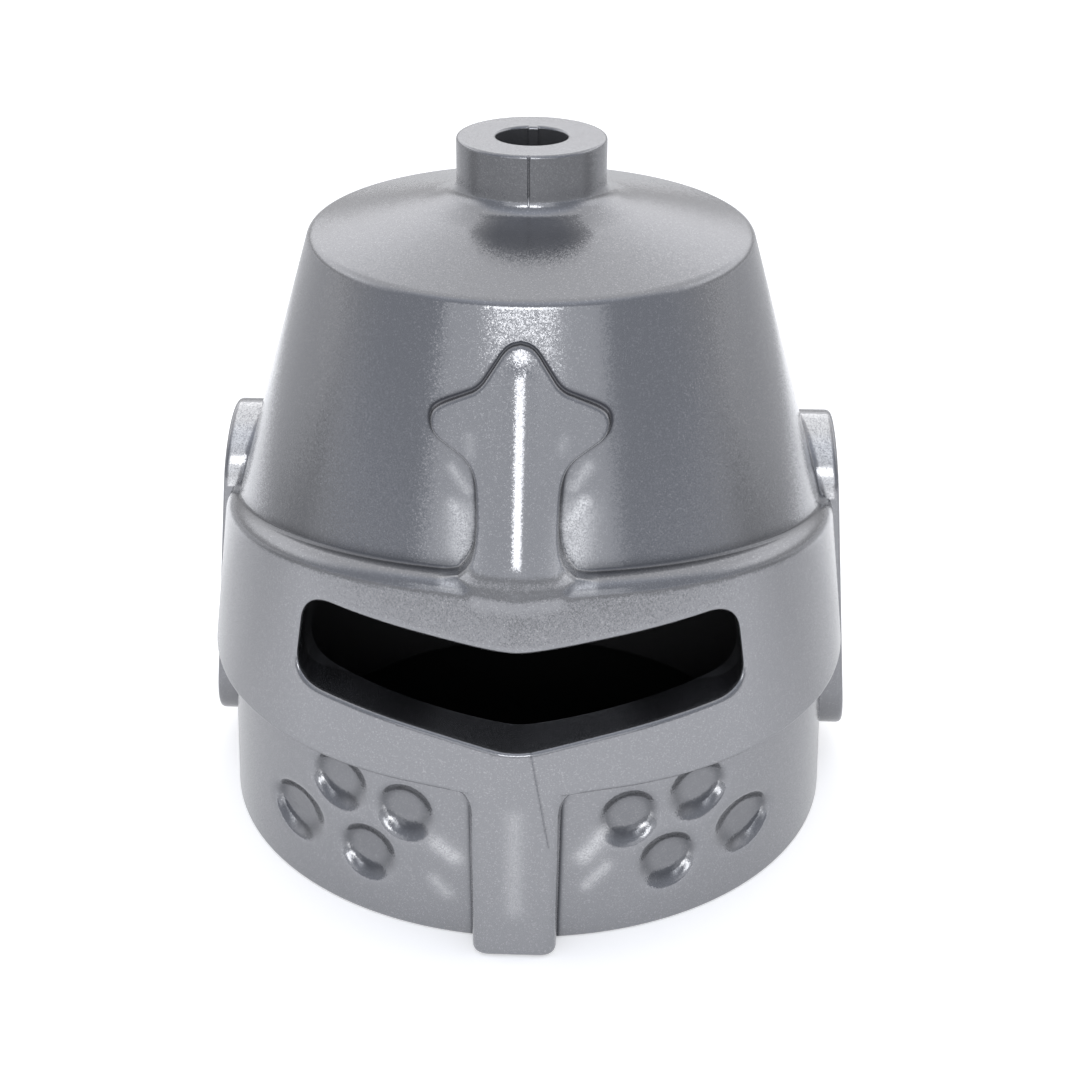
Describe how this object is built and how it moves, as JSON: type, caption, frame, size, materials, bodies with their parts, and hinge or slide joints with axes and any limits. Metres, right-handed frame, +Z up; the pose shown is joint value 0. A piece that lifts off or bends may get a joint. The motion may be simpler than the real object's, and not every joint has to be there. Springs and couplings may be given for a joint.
{
  "type": "knight helmet",
  "caption": "Toy-figure closed great helm with a visor band, an eye slit, breath dimples and a socket on top for a plume.",
  "frame": {"origin": "the axis of the helmet's round shell, on the plane its rim stands on; the chin keel puts the middle of the outline 0.3 mm in front of it", "axes": "-Y out of the face, +Z up to the plume socket, +X to the wearer's left"},
  "size_m": [0.014, 0.0134, 0.0141],
  "materials": {
    "pearl_plastic": "blue-grey moulded ABS with fine pearl flakes and a satin gloss"
  },
  "bodies": {
    "root": {"crown_shell": "pearl_plastic", "crown_cap": "pearl_plastic", "plume_socket": "pearl_plastic", "stud_grip_ring": "pearl_plastic", "visor_band": "pearl_plastic", "brow_star": "pearl_plastic", "brow_rib": "pearl_plastic", "cheek_right": "pearl_plastic", "cheek_left": "pearl_plastic", "chin_keel": "pearl_plastic", "neck_guard": "pearl_plastic", "ear_plate_right": "pearl_plastic", "ear_plate_left": "pearl_plastic"}
  },
  "joints": []
}
